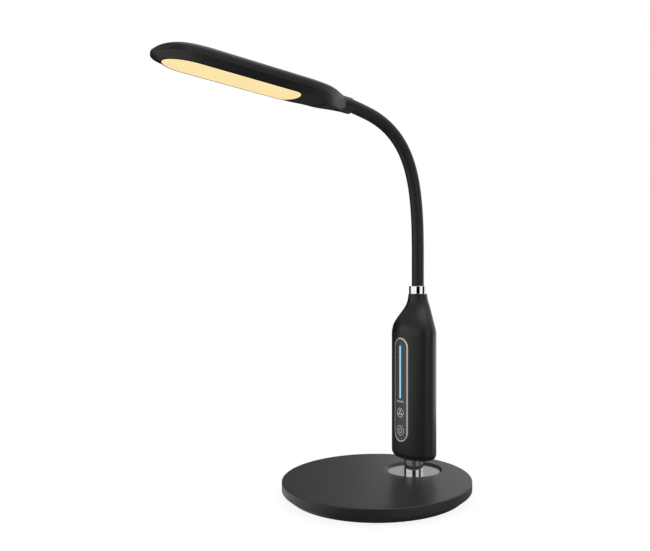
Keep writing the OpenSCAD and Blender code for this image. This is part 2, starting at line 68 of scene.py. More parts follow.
class Wire:
    # one output socket; sums and products of wires become Math nodes
    def __init__(self, finish, socket):
        self.finish = finish
        self.socket = socket

    def math(self, operation, *values):
        return self.finish.add("ShaderNodeMath", {"operation": operation}, dict(enumerate(values)))

    def __add__(self, other):
        return self.math("ADD", self, other)

    __radd__ = __add__

    def __sub__(self, other):
        return self.math("SUBTRACT", self, other)

    def __rsub__(self, other):
        return self.math("SUBTRACT", other, self)

    def __mul__(self, other):
        return self.math("MULTIPLY", self, other)

    __rmul__ = __mul__

    def __truediv__(self, other):
        return self.math("DIVIDE", self, other)

    def __pow__(self, other):
        return self.math("POWER", self, other)

    def __gt__(self, other):
        return self.math("GREATER_THAN", self, other)

    def __abs__(self):
        return self.math("ABSOLUTE", self)

    def least(self, other):
        return self.math("MINIMUM", self, other)

    def most(self, other):
        return self.math("MAXIMUM", self, other)

    def between(self, low, high, toLow=0.0, toHigh=1.0):
        return self.finish.add("ShaderNodeMapRange", {"interpolation_type": "SMOOTHSTEP"},
                               {"Value": self, "From Min": low, "From Max": high,
                                "To Min": toLow, "To Max": toHigh})

    def other(self, name):
        return Wire(self.finish, self.socket.node.outputs[name])


class Finish:
    # builds one material, or the world, node by node
    def __init__(self, name, owner=None):
        self.owner = owner or bpy.data.materials.new(name)
        self.owner.use_nodes = True
        self.tree = self.owner.node_tree
        self.tree.nodes.clear()

    def add(self, kind, settings=None, values=None, output=0):
        node = self.tree.nodes.new(kind)
        for key, value in (settings or {}).items():
            if key == "stops":
                self.setStops(node.color_ramp, value)
            else:
                setattr(node, key, value)
        for key, value in (values or {}).items():
            if isinstance(value, Wire):
                self.tree.links.new(value.socket, node.inputs[key])
            else:
                node.inputs[key].default_value = value
        return Wire(self, node.outputs[output])

    def setStops(self, ramp, stops):
        while len(ramp.elements) < len(stops):
            ramp.elements.new(0.5)
        for element, (place, tone) in zip(ramp.elements, stops):
            element.position = place
            element.color = grey(tone)

    def place(self, output="Object"):
        return self.add("ShaderNodeTexCoord", output=output)

    def axes(self, output="Object"):
        x = self.add("ShaderNodeSeparateXYZ", {}, {0: self.place(output)})
        return x, x.other("Y"), x.other("Z")

    def noise(self, scale, detail, roughness, distortion=0.0):
        return self.add("ShaderNodeTexNoise", {}, {"Vector": self.place(), "Scale": scale, "Detail": detail,
                                                   "Roughness": roughness, "Distortion": distortion})

    def blend(self, part, first, second):
        return self.add("ShaderNodeMix", {"data_type": "RGBA"}, {0: part, 6: first, 7: second}, output=2)

    def bump(self, height, distance):
        return self.add("ShaderNodeBump", {}, {"Height": height, "Distance": distance})

    def glow(self, kind, colour, strength=1.0):
        return self.add(kind, {}, {"Color": colour, "Strength": strength})

    def mixShaders(self, part, first, second):
        return self.add("ShaderNodeMixShader", {}, {0: part, 1: first, 2: second})

    def close(self, shader, kind="ShaderNodeOutputMaterial"):
        node = self.tree.nodes.new(kind)
        self.tree.links.new(shader.socket, node.inputs["Surface"])
        return self.owner

    def skin(self, values):
        return self.close(self.add("ShaderNodeBsdfPrincipled", {}, values))


def grey(value):
    return (value, value, value, 1)


# In the looks a noise is its scale, detail, roughness and distortion, and depth is how deep the bump goes.
# Moulded black ABS with a fine spark-eroded grain; the base has a copy of it a shade paler, painted light
# for its top, which shows lighter under the lamps.
shellLook = {"grain": (1900.0, 3.0, 0.6), "cloud": (14.0, 3.0, 0.55), "rub": (90.0, 4.0, 0.6, 0.4),
             "range": (0.35, 0.65), "tones": ((0.0105, 0.0105, 0.0108, 1), (0.0125, 0.0125, 0.0127, 1)),
             "rough": 0.36, "uneven": 0.05, "ior": 1.5, "depth": 0.000012}
basePaintedLightLook = {**shellLook, "grain": (1700.0, 3.0, 0.6), "rough": 0.37, "ior": 1.6, "depth": 0.000014,
            "tones": ((0.0125, 0.0125, 0.0127, 1), (0.0150, 0.0150, 0.0151, 1))}


def makeShellFinish(name, look):
    f = Finish(name)
    grain, cloud, rub = f.noise(*look["grain"]), f.noise(*look["cloud"]), f.noise(*look["rub"])
    rough = look["rough"] + (rub - 0.5) * look["uneven"] + (grain - 0.5) * look["uneven"]
    return f.skin({"Base Color": f.blend(cloud.between(*look["range"]), *look["tones"]), "Roughness": rough,
                   "IOR": look["ior"], "Normal": f.bump(grain, look["depth"])})


shellFinish = makeShellFinish("shellPlastic", shellLook)
basePaintedLightFinish = makeShellFinish("basePlasticPaintedLight", basePaintedLightLook)

# metals: rough gives the polish, smear how uneven it is
metalLooks = {
    "chromePlate": {"colour": (0.90, 0.90, 0.91, 1), "rough": 0.03, "smear": 0.06, "scale": 60.0},
    "satinSilver": {"colour": (0.80, 0.79, 0.78, 1), "rough": 0.22, "smear": 0.1, "scale": 120.0},
    "zincSteel": {"colour": (0.55, 0.56, 0.58, 1), "rough": 0.33, "smear": 0.3, "scale": 400.0},
    "brass": {"colour": (0.72, 0.52, 0.24, 1), "rough": 0.28, "smear": 0.2, "scale": 200.0},
    "rolledAluminium": {"colour": (0.74, 0.75, 0.76, 1), "rough": 0.36, "smear": 0.15, "scale": 150.0}}
metalHaze = {"detail": 4.0, "soft": 0.6, "twist": 0.3, "clear": 0.4, "depth": 0.000004}


def makeMetalFinish(name, look):
    f, h = Finish(name), metalHaze
    haze = f.noise(look["scale"], h["detail"], h["soft"], h["twist"])
    return f.skin({"Base Color": look["colour"], "Metallic": 1.0,
                   "Roughness": look["rough"] + (haze - h["clear"]).most(0.0) * look["smear"],
                   "Normal": f.bump(haze, h["depth"])})


# two close tones that drift into each other, the roughness with them; grain is a bump of its own
mottledLooks = {
    "neckSilicone": {"tones": ((0.011, 0.011, 0.0113, 1), (0.015, 0.015, 0.0153, 1)),
                     "noise": (210.0, 5.0, 0.65), "range": (0.42, 0.7), "rough": 0.38,
                     "grain": (2300.0, 2.0, 0.5), "depth": 0.00001, "sockets": {"IOR": 1.45}},
    "castIron": {"tones": ((0.06, 0.06, 0.063, 1), (0.13, 0.13, 0.135, 1)), "noise": (700.0, 6.0, 0.7),
                 "range": (0.4, 0.65), "rough": 0.55, "uneven": 0.2, "depth": 0.0002,
                 "sockets": {"Metallic": 0.6}},
    "touchPanel": {"tones": ((0.027, 0.027, 0.029, 1), (0.032, 0.032, 0.034, 1)), "noise": (160.0, 3.0, 0.5),
                   "rough": 0.16, "uneven": 0.05, "depth": 0.0,
                   "sockets": {"Coat Weight": 0.6, "Coat Roughness": 0.05}},
    "paleInk": {"tones": ((0.78, 0.79, 0.80, 1), (0.86, 0.87, 0.88, 1)), "noise": (3000.0, 2.0, 0.5),
                "rough": 0.5, "uneven": 0.0, "depth": 0.0},
    # painted shade: near-black tone for the ring round the window, standing in for the shade in the gap at
    # its edge
    "lipPaintedShade": {"tones": (grey(0.0015), grey(0.0025)), "noise": (800.0, 3.0, 0.6), "range": (0.35, 0.7),
                  "rough": 0.7, "depth": 0.0, "sockets": {"Specular IOR Level": 0.15}},
    "whitePlastic": {"tones": ((0.70, 0.70, 0.68, 1), (0.78, 0.78, 0.76, 1)), "rough": 0.4},
    "circuitBoard": {"tones": ((0.012, 0.10, 0.045, 1), (0.02, 0.14, 0.06, 1)), "noise": (900.0, 4.0, 0.6),
                     "rough": 0.25},
    "mouldedParts": {"tones": ((0.03, 0.03, 0.034, 1), (0.07, 0.065, 0.06, 1)), "noise": (80.0, 4.0, 0.6),
                     "rough": 0.4},
    "chipPhosphor": {"tones": ((0.80, 0.62, 0.12, 1), (0.88, 0.72, 0.2, 1)), "noise": (1500.0, 4.0, 0.6),
                     "rough": 0.35},
    "spreaderPlate": {"tones": ((0.80, 0.82, 0.84, 1), (0.86, 0.88, 0.90, 1)), "noise": (300.0, 4.0, 0.6),
                      "rough": 0.12},
    "blackLead": {"tones": (grey(0.016), grey(0.026)), "rough": 0.5},
    "redLead": {"tones": ((0.30, 0.02, 0.015, 1), (0.38, 0.03, 0.02, 1)), "rough": 0.45}}
plainLook = {"noise": (600.0, 4.0, 0.6), "range": (0.3, 0.7), "uneven": 0.1, "depth": 0.00003, "sockets": {}}


def makeMottledFinish(name, look):
    f = Finish(name)
    fleck = f.noise(*look["noise"])
    values = {"Base Color": f.blend(fleck.between(*look["range"]), *look["tones"]),
              "Roughness": look["rough"] + fleck * look["uneven"] if look["uneven"] else look["rough"]}
    if look["depth"]:
        values["Normal"] = f.bump(f.noise(*look["grain"]) if "grain" in look else fleck, look["depth"])
    return f.skin({**values, **look["sockets"]})


# turned disc: fine rings left by the lathe, about the post
discLook = {"colour": (0.50, 0.50, 0.51, 1), "rings": 5200.0, "depth": 0.0000012, "haze": (70.0, 4.0, 0.6),
            "rough": 0.10, "uneven": 0.06}


def makeDiscFinish(look, centreY):
    f = Finish("turnedDisc")
    x, y, _ = f.axes()
    y = y - centreY
    turns = (x * x + y * y) ** 0.5 * look["rings"]
    rough = look["rough"] + f.noise(*look["haze"]) * look["uneven"]
    return f.skin({"Base Color": look["colour"], "Metallic": 1.0, "Roughness": rough,
                   "Normal": f.bump(turns.math("SINE", turns), look["depth"])})


# soft foot: closed-cell foam with a felted face
footLook = {"cells": 900.0, "range": (0.0, 0.7), "tones": (grey(0.010), grey(0.028)), "rough": 0.9,
            "depth": 0.00012}


def makeFootFinish(look):
    f = Finish("footFoam")
    cells = f.add("ShaderNodeTexVoronoi", {}, {"Vector": f.place(), "Scale": look["cells"]})
    return f.skin({"Base Color": f.blend(cells.between(*look["range"]), *look["tones"]),
                   "Roughness": look["rough"], "Normal": f.bump(cells, look["depth"])})


# lit bar of the dimming slider, darker towards its sides
barLook = {"half": 1.2 * mm, "edge": (0.03, 0.16, 0.28, 1), "core": (0.15, 0.44, 0.65, 1),
           "unlit": (0.30, 0.50, 0.62, 1), "rough": 0.3, "fall": 3.0}


def makeBarFinish(look):
    f = Finish("litBar")
    middle = 1 - (abs(f.axes()[0]) / look["half"]).least(1.0) ** look["fall"]
    return f.skin({"Base Color": look["unlit"], "Roughness": look["rough"],
                   "Emission Color": f.blend(middle, look["edge"], look["core"]), "Emission Strength": 1.0})


# milky window, lit from behind by two rows of chips, a little paler along its sides
windowLook = {"half": 15.3 * mm, "core": (0.865, 0.665, 0.310, 1), "warm": (0.885, 0.685, 0.325, 1),
              "edge": (0.92, 0.76, 0.46, 1), "edgeFrom": 0.86, "edgePart": 0.5, "cloud": (55.0, 2.0, 0.5),
              "range": (0.3, 0.7), "unlit": (0.34, 0.31, 0.26, 1), "rough": 0.45}


def makeWindowFinish(look):
    f = Finish("litWindow")
    edge = (abs(f.axes()[0]) / look["half"]).between(look["edgeFrom"], 1.0)
    even = f.blend(f.noise(*look["cloud"]).between(*look["range"]), look["core"], look["warm"])
    return f.skin({"Base Color": look["unlit"], "Roughness": look["rough"],
                   "Emission Color": f.blend(edge * look["edgePart"], even, look["edge"]),
                   "Emission Strength": 1.0})


finishes = {name: makeMetalFinish(name, look) for name, look in metalLooks.items()}
for name, look in mottledLooks.items():
    finishes[name] = makeMottledFinish(name, {**plainLook, **look})
print("finishes made")


def shade(piece, angle):
    piece.data.shade_smooth()
    piece.data.set_sharp_from_angle(angle=radians(angle))


def addPiece(name, vertices, faces, finish, smooth=35.0):
    mesh = bpy.data.meshes.new(name)
    mesh.from_pydata([tuple(v) for v in vertices], [], faces)
    mesh.validate()
    piece = bpy.data.objects.new(name, mesh)
    bpy.context.collection.objects.link(piece)
    mesh.materials.append(finish)
    shade(piece, smooth)
    return piece


def faceOutwards(piece):
    bm = bmesh.new()
    bm.from_mesh(piece.data)
    bmesh.ops.recalc_face_normals(bm, faces=bm.faces)
    bm.to_mesh(piece.data)
    bm.free()


# skin over rings of points, each anticlockwise seen from the last ring; ends closed by flat faces
def loft(name, rings, finish, smooth=35.0, closeEnds=True, closeLoop=False):
    n, m = len(rings[0]), len(rings)
    faces = []
    for i in range(m if closeLoop else m - 1):
        near, far = i * n, ((i + 1) % m) * n
        for j in range(n):
            k = (j + 1) % n
            faces.append((near + j, near + k, far + k, far + j))
    if closeEnds and not closeLoop:
        faces.append(tuple(range(n - 1, -1, -1)))
        faces.append(tuple((m - 1) * n + j for j in range(n)))
    return addPiece(name, [p for ring in rings for p in ring], faces, finish, smooth)


# n directions round a circle, as cosine and sine
def circleOf(n):
    return [(cos(2 * pi * j / n), sin(2 * pi * j / n)) for j in range(n)]


# level ring about an upright line at x = 0
def circleRing(y, r, z, n):
    return [(r * c * mm, (y + r * s) * mm, z * mm) for c, s in circleOf(n)]


# arc from one angle to another, in degrees
def roundPoints(centre, r, start, stop, steps):
    angles = [radians(start + (stop - start) * i / steps) for i in range(steps + 1)]
    return [(centre[0] + r * cos(a), centre[1] + r * sin(a)) for a in angles]


# closed solid of revolution from a profile that runs anticlockwise in (radius, height)
def turned(name, y, profile, finish, n):
    return loft(name, [circleRing(y, r, z, n) for r, z in profile], finish, closeLoop=True)


def combine(target, cutter, operation):
    step = target.modifiers.new("cut", "BOOLEAN")
    step.operation = operation
    step.solver = "EXACT"
    step.object = cutter
    shape = target.evaluated_get(bpy.context.evaluated_depsgraph_get())
    mesh = bpy.data.meshes.new_from_object(shape)
    target.modifiers.clear()
    old = target.data
    target.data = mesh
    bpy.data.meshes.remove(old)
    bpy.data.objects.remove(cutter)


def cutAway(target, cutters, smooth=35.0):
    for cutter in cutters:
        combine(target, cutter, "DIFFERENCE")
    shade(target, smooth)


def cylinderAlong(start, direction, r, length, n=96):
    axis = Vector(direction).normalized()
    side = axis.orthogonal().normalized()
    up = axis.cross(side)
    rings = [[tuple((Vector(start) + axis * t + side * (r * c) + up * (r * s)) * mm) for c, s in circleOf(n)]
             for t in (0, length)]
    return loft("cutter", rings, shellFinish)


def ride(piece, body, *nodes, slot=None):
    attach(piece, body)
    if nodes:
        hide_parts(*nodes)


# r, h: the base's size; ring: the sunk ring round the post, which stands at postY; jack: the inlet's hole
base = {"r": 90.0, "h": 15.0, "points": 192, "rimFoot": 6.6, "footEdge": 0.3, "rimEdge": 0.8, "rimT": 2.6,
        "topT": 2.1, "topRings": 14, "lowRings": 6,
        "ringR": 27.7, "ringEdge": 0.45, "ringT": 1.6, "ringDrop": 2.0, "ringTurn": 0.9, "floorZ": 10.2,
        "discR": 25.8, "discZ": 12.0, "discSide": [(0.25, 1.05), (0.0, 0.8), (0.0, 0.0)],
        "postY": 47.3, "postR": 9.7, "jackZ": 8.7, "jackR": 3.9, "jackOut": 5.0, "jackDeep": 20.0}


def jackHole():
    b = base
    return cylinderAlong((0, b["r"] + b["jackOut"], b["jackZ"]), (0, -1, 0), b["jackR"], b["jackDeep"])


# rings on a level face, between one circle and another off its centre
def levelRings(startY, startR, stopY, stopR, z, count):
    parts = [i / count for i in range(1, count)]
    return [circleRing(startY + (stopY - startY) * t, startR + (stopR - startR) * t, z, base["points"])
            for t in parts]


def makeBaseTop():
    b, n = base, base["points"]
    top, low, inner = b["h"], b["h"] - b["topT"], b["r"] - b["rimT"]
    flatR, mouthR, wallR = b["r"] - b["rimEdge"], b["ringR"] + b["ringEdge"], b["ringR"] + b["ringT"]
    rim = ([(inner, b["rimFoot"])]
           + roundPoints((b["r"] - b["footEdge"], b["rimFoot"] + b["footEdge"]), b["footEdge"], -90, 0, 4)
           + roundPoints((flatR, top - b["rimEdge"]), b["rimEdge"], 0, 90, 8))
    turn = degrees(atan2(b["ringDrop"], b["ringR"] - b["discR"])) * b["ringTurn"]
    sunk = (roundPoints((mouthR, top - b["ringEdge"]), b["ringEdge"], 90, 90 + turn, 5)
            + [(b["discR"] + out, b["discZ"] + up) for out, up in b["discSide"]]
            + [(b["postR"], b["discZ"]), (b["postR"], b["floorZ"]), (wallR, b["floorZ"]), (wallR, low)])
    rings = [circleRing(0, r, z, n) for r, z in rim]
    rings += levelRings(0, flatR, b["postY"], mouthR, top, b["topRings"])
    rings += [circleRing(b["postY"], r, z, n) for r, z in sunk]
    rings += levelRings(b["postY"], wallR, 0, inner, low, b["lowRings"])
    rings.append(circleRing(0, inner, low, n))
    piece = loft("baseTop", rings, basePaintedLightFinish, closeLoop=True)
    cutAway(piece, [jackHole()])
    ride(piece, "stand", "base_top_cover", slot="black_plastic")


# lip: steps inward and down from the rim's foot, where the two covers meet
underCover = {"slope": 6.6, "foot": 0.9, "gap": 0.15, "edge": 0.6, "t": 2.1, "inset": 2.2, "boreR": 20.0,
              "lip": [(0.45, 0.22), (0.35, 0.05), (0.5, 0.0), (3.2, 0.0)]}


def makeBaseBottom():
    u, e, foot = underCover, underCover["edge"], underCover["foot"]
    low, top = base["r"] - u["slope"], base["rimFoot"] - u["gap"]
    profile = ([(u["boreR"], foot)] + roundPoints((low - e, foot + e), e, -90, -50, 4)
               + [(base["r"] - inward, top - down) for inward, down in u["lip"]]
               + [(low - u["inset"], foot + u["t"]), (u["boreR"], foot + u["t"])])
    piece = turned("baseBottom", 0, profile, basePaintedLightFinish, base["points"])
    cutAway(piece, [jackHole()])
    ride(piece, "stand", "base_bottom_cover", slot="black_plastic")


# bright disc at the bottom of the sunk ring
disc = {"t": 1.0, "gap": 0.1, "lift": 0.02, "edge": 0.15, "boreEdge": 0.1}


def makeRecessDisc():
    b, d = base, disc
    r, low, top, bore = b["discR"] - d["gap"], b["discZ"] + d["lift"], b["discZ"] + d["t"], b["postR"]
    profile = [(bore, low), (r, low), (r, top - d["edge"]), (r - d["edge"], top),
               (bore + d["boreEdge"], top), (bore, top - d["boreEdge"])]
    finish = makeDiscFinish(discLook, b["postY"] * mm)
    piece = turned("recessDisc", b["postY"], profile, finish, b["points"])
    ride(piece, "stand", "recess_disc", slot="chrome")


makeBaseTop()
makeBaseBottom()
makeRecessDisc()
print("base made")

# oval column, whose round ends of endR are joined by wide arcs
column = {"y": 47.3, "w": 53.2, "d": 35.8, "endR": 13.0, "points": 192,
          "z0": 26.7, "capZ": 33.0, "z1": 148.5, "top": 189.0, "gap": 0.1, "cutFrom": 20.0,
          "postR": 9.6, "postLong": 30.0, "screwX": 18.0, "screwR": 2.8, "screwLong": 9.7}
# back: how far the neck's foot stands behind the column's middle
shoulder = {"gap": 0.15, "rings": 64, "topR": 9.5, "power": 1.08, "back": 5.5, "backFrom": 0.2,
            "backOver": 0.6, "edge": [(0.25, 0.0), (0.07, 0.07), (0.0, 0.25)], "boreR": 6.8,
            "boreFrom": 24.0, "boreLong": 40.0}
halfW, halfD, endR = column["w"] / 2, column["d"] / 2, column["endR"]
endX = halfW - endR  # centres of the ends
sideY = (endX ** 2 - (halfD - endR) ** 2) / (2 * (halfD - endR))  # and of the wide arcs


def ovalRadius(angle, grow):
    small, wide = endR + grow, sideY + halfD + grow
    tip = atan2(sideY, endX)
    join = atan2(small * sin(tip), endX + small * cos(tip))
    q = abs((angle + pi) % (2 * pi) - pi)
    q = pi - q if q > pi / 2 else q
    if q <= join:
        return endX * cos(q) + sqrt(small ** 2 - (endX * sin(q)) ** 2)
    return -sideY * sin(q) + sqrt(wide ** 2 - (sideY * cos(q)) ** 2)


# y of the column's front face at a given x
def frontAt(x, grow):
    return column["y"] + sideY - sqrt((sideY + halfD + grow) ** 2 - x * x)


# the oval, or part of the way from it to a circle of topR that stands shift further back
def ovalRing(grow, z, part=0.0, shift=0.0, topR=0.0):
    n = column["points"]
    oval = []
    for j, (c, s) in enumerate(circleOf(n)):
        r = ovalRadius(2 * pi * j / n, grow) * (1 - part) + (topR + grow) * part
        oval.append((r * c * mm, (r * s + column["y"] + shift) * mm, z * mm))
    return oval


def easeOf(t):
    t = min(1.0, max(0.0, t))
    return t * t * (3 - 2 * t)


def makeColumnFoot():
    c = column
    roundR = c["capZ"] - c["z0"] - c["gap"]
    angles = [radians(a) for a in range(0, 91, 6)]
    rings = [ovalRing(roundR * (sin(a) - 1), c["z0"] + roundR * (1 - cos(a))) for a in angles]
    piece = loft("columnFoot", rings, shellFinish)
    holes = [cylinderAlong((0, c["y"], c["cutFrom"]), (0, 0, 1), c["postR"], c["postLong"])]
    for x in (-c["screwX"], c["screwX"]):
        holes.append(cylinderAlong((x, c["y"], c["cutFrom"]), (0, 0, 1), c["screwR"], c["screwLong"], 48))
    cutAway(piece, holes)
    ride(piece, "stand", "column_bottom_cap", slot="black_plastic")


def makeColumnShoulder():
    c, s = column, shoulder
    start, top, rings = c["z1"] + s["gap"], c["top"], []
    for i in range(s["rings"]):
        t = i / s["rings"]
        back = s["back"] * easeOf((t - s["backFrom"]) / s["backOver"])
        rings.append(ovalRing(0.0, start + (top - start) * t, easeOf(t ** s["power"]), back, s["topR"]))
    # soft edge round the collar's mouth
    rings += [ovalRing(0.0, top - down, 1.0, s["back"], s["topR"] - inward) for down, inward in s["edge"]]
    piece = loft("columnShoulder", rings, shellFinish)
    foot = (0, c["y"] + s["back"], top - s["boreFrom"])
    cutAway(piece, [cylinderAlong(foot, (0, 0, 1), s["boreR"], s["boreLong"])])
    ride(piece, "stand", "column_shoulder", slot="black_plastic")


makeColumnFoot()
makeColumnShoulder()

# raised satin frame of the touch panel, swept round the slot on the curved front;
# its section gives the distance inward from the outer edge and the height over the column's face
trim = {"w": 19.6, "z0": 44.4, "z1": 146.8, "steps": 48, "straight": 24, "smooth": 50.0,
        "section": [(0.0, -2.0), (0.0, 0.02), (0.12, 0.15), (0.35, 0.26), (0.7, 0.30), (1.1, 0.27),
                    (1.45, 0.19), (1.5, 0.12), (1.3, 0.02), (1.3, -2.0)]}


# points and outward normals round an upright slot
def slotPath(w, z0, z1, steps, straight):
    r = w / 2
    rise, path = z1 - z0 - w, []
    for side, z in ((1, z1 - r), (-1, z0 + r)):
        for i in range(steps + 1):
            c, s = side * cos(pi * i / steps), side * sin(pi * i / steps)
            path.append(((r * c, z + r * s), (c, s)))
        path += [((-side * r, z - side * rise * i / straight), (-side, 0)) for i in range(1, straight)]
    return path


def makePanelTrim():
    t, rings = trim, []
    for (x, z), (nx, nz) in slotPath(t["w"], t["z0"], t["z1"], t["steps"], t["straight"]):
        places = [(x - nx * inward, z - nz * inward, height) for inward, height in t["section"]]
        rings.append([(px * mm, frontAt(px, height) * mm, pz * mm) for px, pz, height in places])
    piece = loft("panelTrim", rings, finishes["satinSilver"], t["smooth"], closeLoop=True)
    faceOutwards(piece)
    ride(piece, "stand", "panel_trim", slot="satin_silver")


makePanelTrim()

# marks under the lit bar: a ring of three dots for the tone, a power sign and a short scale
marks = {"lift": 0.13, "t": 0.05, "smooth": 30.0,
         "toneZ": 73.2, "toneR": 4.3, "toneLine": 0.6, "dotR": 1.15, "dotPoints": 24,
         "dots": [(0, 1.7), (-1.7, -1.2), (1.7, -1.2)],
         "powerZ": 55.9, "powerR": 4.7, "powerLine": 0.5, "signR": 2.2, "signLine": 0.7,
         "signArc": (125, 415), "stemUp": 2.0, "stemLong": 2.6,
         "scaleZ": 84.2, "scaleX": (-3.8, -1.9, 0.0, 1.9, 3.8), "scaleSize": (1.0, 1.9)}


# thin printed shapes that lie on the panel
def printShapes(name, shapes):
    vertices, faces = [], []
    for outline in shapes:
        start, n = len(vertices), len(outline)
        for depth in (marks["lift"], marks["lift"] + marks["t"]):
            vertices += [(x * mm, frontAt(x, depth) * mm, z * mm) for x, z in outline]
        faces.append(tuple(start + j for j in range(n)))
        faces.append(tuple(start + n + j for j in range(n - 1, -1, -1)))
        for j in range(n):
            k = (j + 1) % n
            faces.append((start + k, start + j, start + n + j, start + n + k))
    piece = addPiece(name, vertices, faces, finishes["paleInk"], marks["smooth"])
    faceOutwards(piece)
    ride(piece, "stand", slot="white_plastic")


def arcBand(z, r, width, start, stop, steps=40):
    return (roundPoints((0, z), r + width / 2, start, stop, steps)
            + roundPoints((0, z), r - width / 2, stop, start, steps))


def circleBand(z, r, width):
    return [arcBand(z, r, width, 0, 180), arcBand(z, r, width, 180, 360)]


def dotAt(x, z, r):
    return [(x + r * c, z + r * s) for c, s in circleOf(marks["dotPoints"])]


def barAt(x, z, w, h):
    return [(x - w / 2, z - h / 2), (x + w / 2, z - h / 2), (x + w / 2, z + h / 2), (x - w / 2, z + h / 2)]


def makeMarks():
    m = marks
    dots = [dotAt(x, m["toneZ"] + up, m["dotR"]) for x, up in m["dots"]]
    printShapes("toneMark", circleBand(m["toneZ"], m["toneR"], m["toneLine"]) + dots)
    sign = arcBand(m["powerZ"], m["signR"], m["signLine"], *m["signArc"])
    stem = barAt(0, m["powerZ"] + m["stemUp"], m["signLine"], m["stemLong"])
    printShapes("powerMark", circleBand(m["powerZ"], m["powerR"], m["powerLine"]) + [sign, stem])
    printShapes("scaleMarks", [barAt(x, m["scaleZ"], *m["scaleSize"]) for x in m["scaleX"]])


makeMarks()

# chrome ring at the foot of the neck; hold: rings close to the rounded edges that keep the tall side flat
ring = {"y": 52.8, "z0": 189.0, "h": 8.0, "r": 8.8, "lift": 0.02, "soft": 0.45, "hold": (0.1, 0.3),
        "bore": 6.15, "boreEdge": 0.4, "points": 128}


def makeNeckRing():
    g, r, s = ring, ring["r"], ring["soft"]
    low, high = g["z0"] + g["lift"] + s, g["z0"] + g["h"] - s
    close, far = g["hold"]
    side = [(r, g["z0"] + s + close), (r, g["z0"] + s + far), (r, high - far), (r, high - close)]
    profile = ([(g["bore"], g["z0"] + g["lift"])] + roundPoints((r - s, low), s, -90, 0, 6) + side
               + roundPoints((r - s, high), s, 0, 90, 6)
               + [(g["bore"] + g["boreEdge"], high + s), (g["bore"], high + s - g["boreEdge"])])
    piece = turned("neckRing", g["y"], profile, finishes["chromePlate"], g["points"])
    ride(piece, "stand", "neck_ring", slot="chrome")


makeNeckRing()
print("column made")

# eleven stretches with their bends in degrees, then the short turn inside the collar;
# soft: how far either way from a joint the places before and beyond its bend are taken
neck = {"y": 52.8, "z": 197.0, "r": 6.1, "lengths": [12.0] + [20.0] * 9 + [17.5, 6.0],
        "bends": [0, 0, 1.5, 3, 5, 8, 13, 16.7, 16.4, 12.8, 2.1, 7.15], "step": 1.0, "soft": 7.0,
        "inRing": 3.0, "inCollar": 9.0, "points": 72}
neckBodies = ["stand", *(f"neck_{k}" for k in range(1, 10)), "head"]


# points and headings along the neck's middle line, and where each stretch starts
def traceNeck():
    place, heading, travelled = (0.0, neck["z"]), 0.0, 0.0
    trace, starts = [], []
    for length, bend in zip(neck["lengths"], neck["bends"]):
        starts.append((travelled, place, heading))
        count = int(round(length / neck["step"]))
        turn, chord = radians(bend) / count, length / count
        for i in range(count):
            trace.append((travelled + length * i / count, place, heading))
            heading += turn / 2
            place = (place[0] + chord * sin(heading), place[1] + chord * cos(heading))
            heading += turn / 2
        travelled += length
    trace.append((travelled, place, heading))
    return trace, starts


neckTrace, neckStarts = traceNeck()
neckTail = neckStarts[-1]  # where the neck enters the head


# place and heading at a distance along the neck, straight on past its ends
def neckPoint(distance):
    if distance <= 0:
        return (0.0, neck["z"] + distance), 0.0
    total, place, heading = neckTrace[-1]
    if distance >= total:
        past = distance - total
        return (place[0] + past * sin(heading), place[1] + past * cos(heading)), heading
    for (d0, p0, h0), (d1, p1, h1) in zip(neckTrace, neckTrace[1:]):
        if distance <= d1:
            t = (distance - d0) / (d1 - d0)
            return (p0[0] + (p1[0] - p0[0]) * t, p0[1] + (p1[1] - p0[1]) * t), h0 + (h1 - h0) * t


def neckCircle(distance):
    (u, z), heading = neckPoint(distance)
    circle = []
    for c, s in circleOf(neck["points"]):
        off = neck["r"] * s  # in the plane of the bend
        y = neck["y"] - u + off * cos(heading)
        circle.append((neck["r"] * c * mm, y * mm, (z + off * sin(heading)) * mm))
    return circle


def neckPlace(distance):
    u, z = neckPoint(distance)[0]
    return (0, (neck["y"] - u) * mm, z * mm)


# one sleeve over each joint, from the middle of a stretch to the middle of the next
def makeNeck():
    middles = [neckStarts[k][0] + neck["lengths"][k] / 2 for k in range(1, len(neckBodies) - 1)]
    cuts = [-neck["inRing"], *middles, neckTail[0] + neck["inCollar"]]
    for k in range(1, len(neckBodies)):
        low, long = cuts[k - 1], cuts[k] - cuts[k - 1]
        count = int(round(long / neck["step"]))
        rings = [neckCircle(low + long * i / count) for i in range(count + 1)]
        piece = loft(f"neckSleeve{k}", rings, finishes["neckSilicone"], closeEnds=False)
        before, beyond = [neckPlace(neckStarts[k][0] + way * neck["soft"]) for way in (-1, 1)]
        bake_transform(piece)
        nodes = ["neck_stretch_0", "neck_stretch_1"] if k == 1 else [f"neck_stretch_{k}"]
        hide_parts(*nodes)


makeNeck()
print("neck made")

# In the head's own frame v runs out from the neck's end and z is up. The form swells from the collar round
# the neck to a broad slab, and ends in a dome and a round nose. low is its underside, and seam is where
# the two shells meet.
head = {"len": 191.3, "w": 46.9, "h": 13.9, "pitch": 4.35, "low": -6.3, "points": 160, "smooth": 32.0,
        "seam": -2.0, "seamUp": 0.1, "seamDown": 0.05,
        "wall": 1.7, "wallFrom": 24.0, "wallTo": 2.0, "floor": 0.25,
        "collarR": 7.55, "collarZ": -0.3, "neckFrom": 13.5, "slabFrom": 49.9, "slabSwell": (2.79, 1.2),
        "bodyFrom": 62.0, "bodySwell": (1.32, 0.41), "nose": 25.2, "nosePower": 2.36,
        "domeFrom": 151.0, "domePower": 1.8, "tipHeight": 0.15, "tipDrop": 0.6, "tipFlat": 0.3,
        "belly": 1.25, "bellyTo": 62.0, "bellyFade": 30.0, "bellyPowers": (0.8, 4),
        "sidePower": 0.35, "topPower": 0.45, "edgeSine": 0.5, "leastHalf": 0.2,
        "socketZ": 0.3, "socketTo": 13.3, "socketGap": 0.1,
        "clampV": 18.5, "clampR": 1.7, "clampHeadR": 2.8, "clampHeadTo": 3.3}
